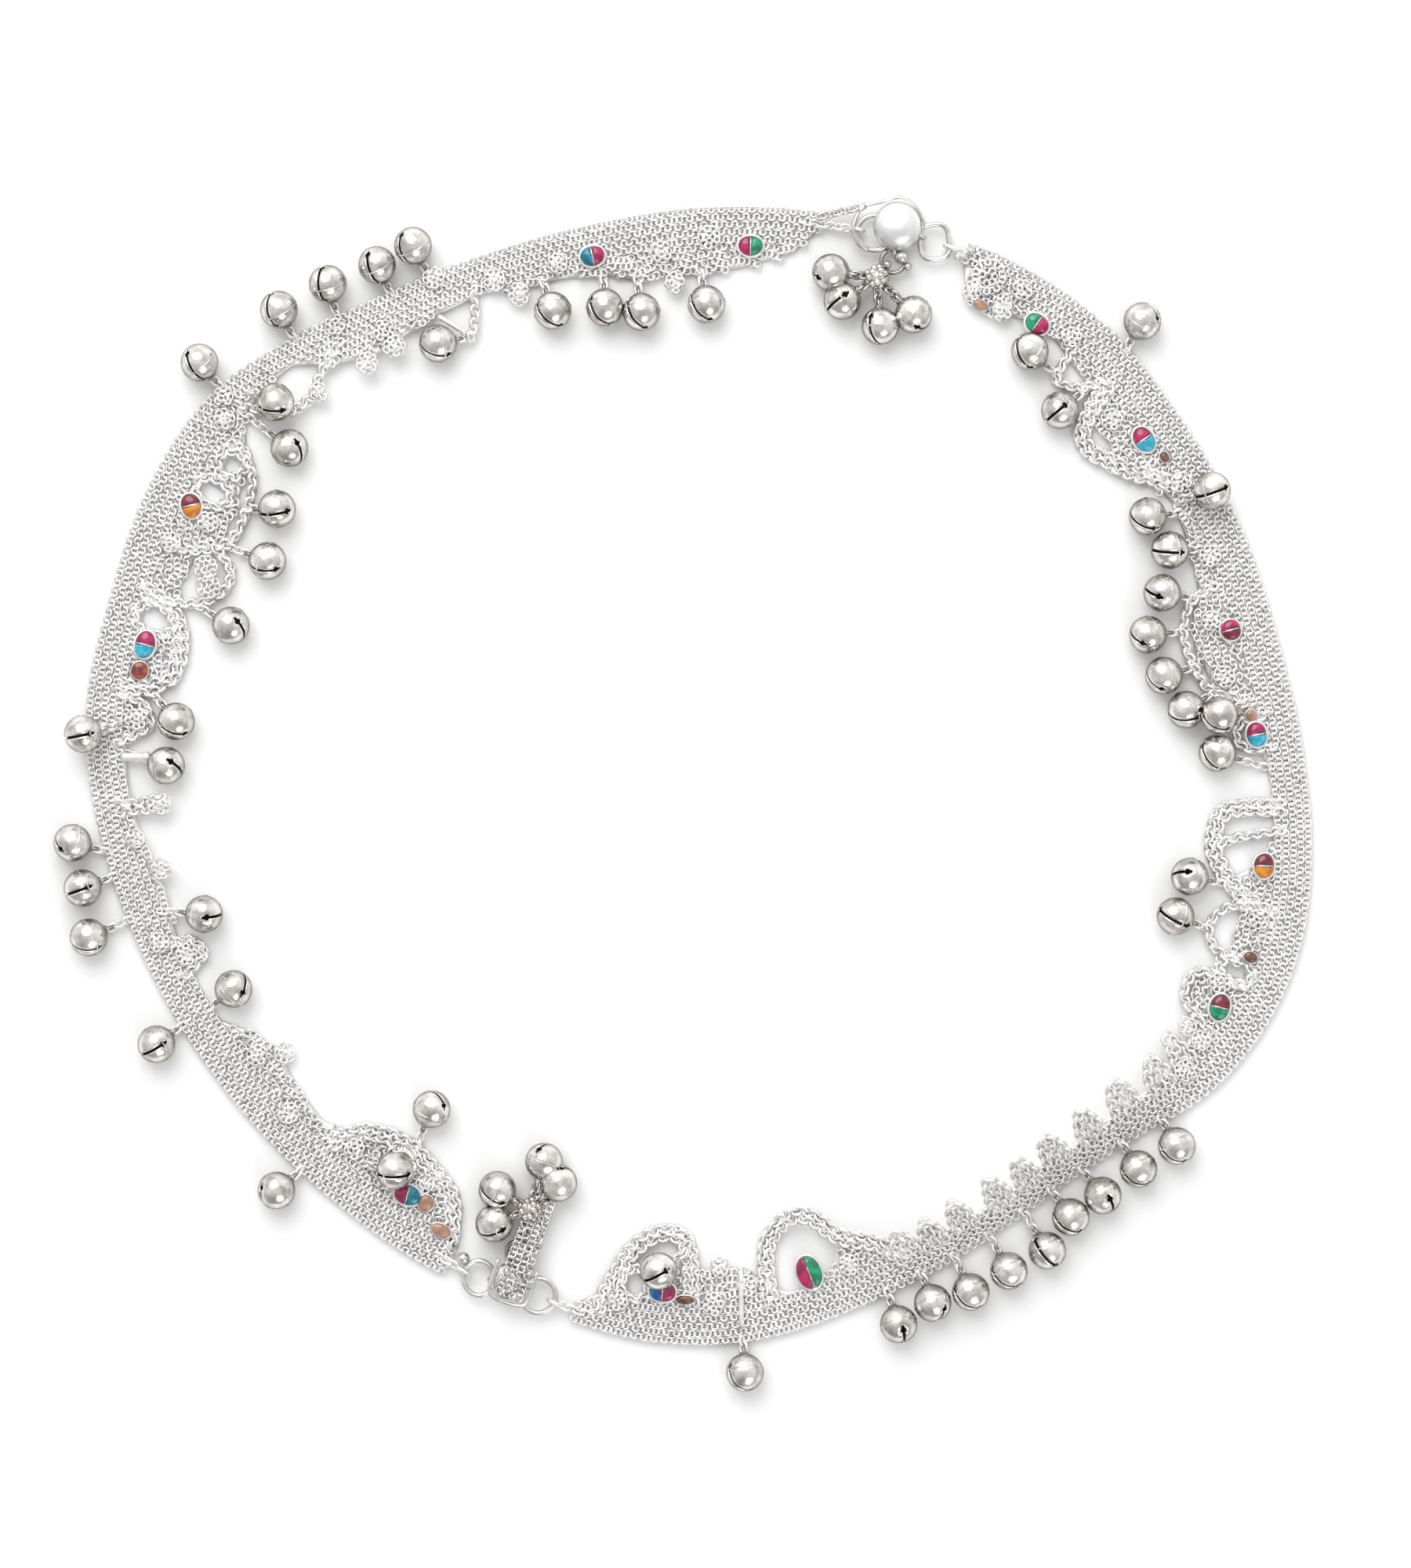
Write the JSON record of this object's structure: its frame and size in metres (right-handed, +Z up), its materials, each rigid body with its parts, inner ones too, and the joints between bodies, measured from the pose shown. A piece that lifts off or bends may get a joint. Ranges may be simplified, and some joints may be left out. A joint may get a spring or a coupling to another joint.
{
  "type": "payal anklet pair hooked into one loop",
  "caption": "Silver payal anklets of woven bead chain with round bells and small enamelled stones, hooked end to end as one closed loop.",
  "frame": {"origin": "middle of the loop's footprint, on the surface it rests on", "axes": "+Z up off the surface; +X towards the long curved side of the right-hand length; +Y towards the domed clasp"},
  "size_m": [0.1806, 0.1704, 0.0072],
  "materials": {
    "chain_silver": "satin",
    "bell_silver": "polished",
    "clasp_silver": "polished",
    "enamel_crimson": "gloss",
    "enamel_teal": "gloss",
    "enamel_green": "gloss",
    "enamel_amber": "gloss"
  },
  "bodies": {
    "root": {"band_left": "chain_silver", "band_right": "chain_silver", "bell_left_01": "bell_silver", "bell_left_04": "bell_silver", "bell_left_05": "bell_silver", "bell_left_06": "bell_silver", "bell_left_07": "bell_silver", "bell_left_08": "bell_silver", "bell_left_09": "bell_silver", "bell_left_10": "bell_silver", "bell_left_11": "bell_silver", "bell_left_12": "bell_silver", "bell_left_13": "bell_silver", "bell_left_14": "bell_silver", "bell_left_15": "bell_silver", "bell_left_16": "bell_silver", "bell_left_17": "bell_silver", "bell_left_18": "bell_silver", "bell_left_19": "bell_silver", "bell_left_20": "bell_silver", "bell_left_21": "bell_silver", "bell_left_22": "bell_silver", "bell_left_23": "bell_silver", "bell_left_24": "bell_silver", "bell_left_25": "bell_silver", "bell_left_26": "bell_silver", "bell_left_27": "bell_silver", "bell_right_01": "bell_silver", "bell_right_02": "bell_silver", "bell_right_03": "bell_silver", "bell_right_04": "bell_silver", "bell_right_13": "bell_silver", "bell_right_14": "bell_silver", "bell_right_25": "bell_silver", "bell_right_26": "bell_silver", "bell_pair_top": "bell_silver", "bell_row_inner": "bell_silver", "bell_row_outer": "bell_silver", "bell_cluster_top": "bell_silver", "bell_cluster_bottom": "bell_silver", "ring_top_left": "clasp_silver", "ring_top_right": "clasp_silver", "ring_bottom_left": "clasp_silver", "ring_bottom_right": "clasp_silver", "clasp_dome_top": "clasp_silver", "clasp_plate_bottom": "clasp_silver", "stone_pink_green": "enamel_crimson", "stone_teal_pink": "enamel_teal", "stone_red_orange": "enamel_amber", "stone_crimson_cyan": "enamel_teal", "stone_crimson_blue": "enamel_teal", "stone_blue_crimson": "enamel_crimson", "stone_leaf_pair": "enamel_green", "stone_maroon_green": "enamel_green", "stone_orange": "enamel_amber", "stone_small_blue": "enamel_teal", "stone_crimson": "enamel_crimson", "stone_crimson_sky": "enamel_teal", "stone_green_pink": "enamel_green"}
  },
  "joints": []
}
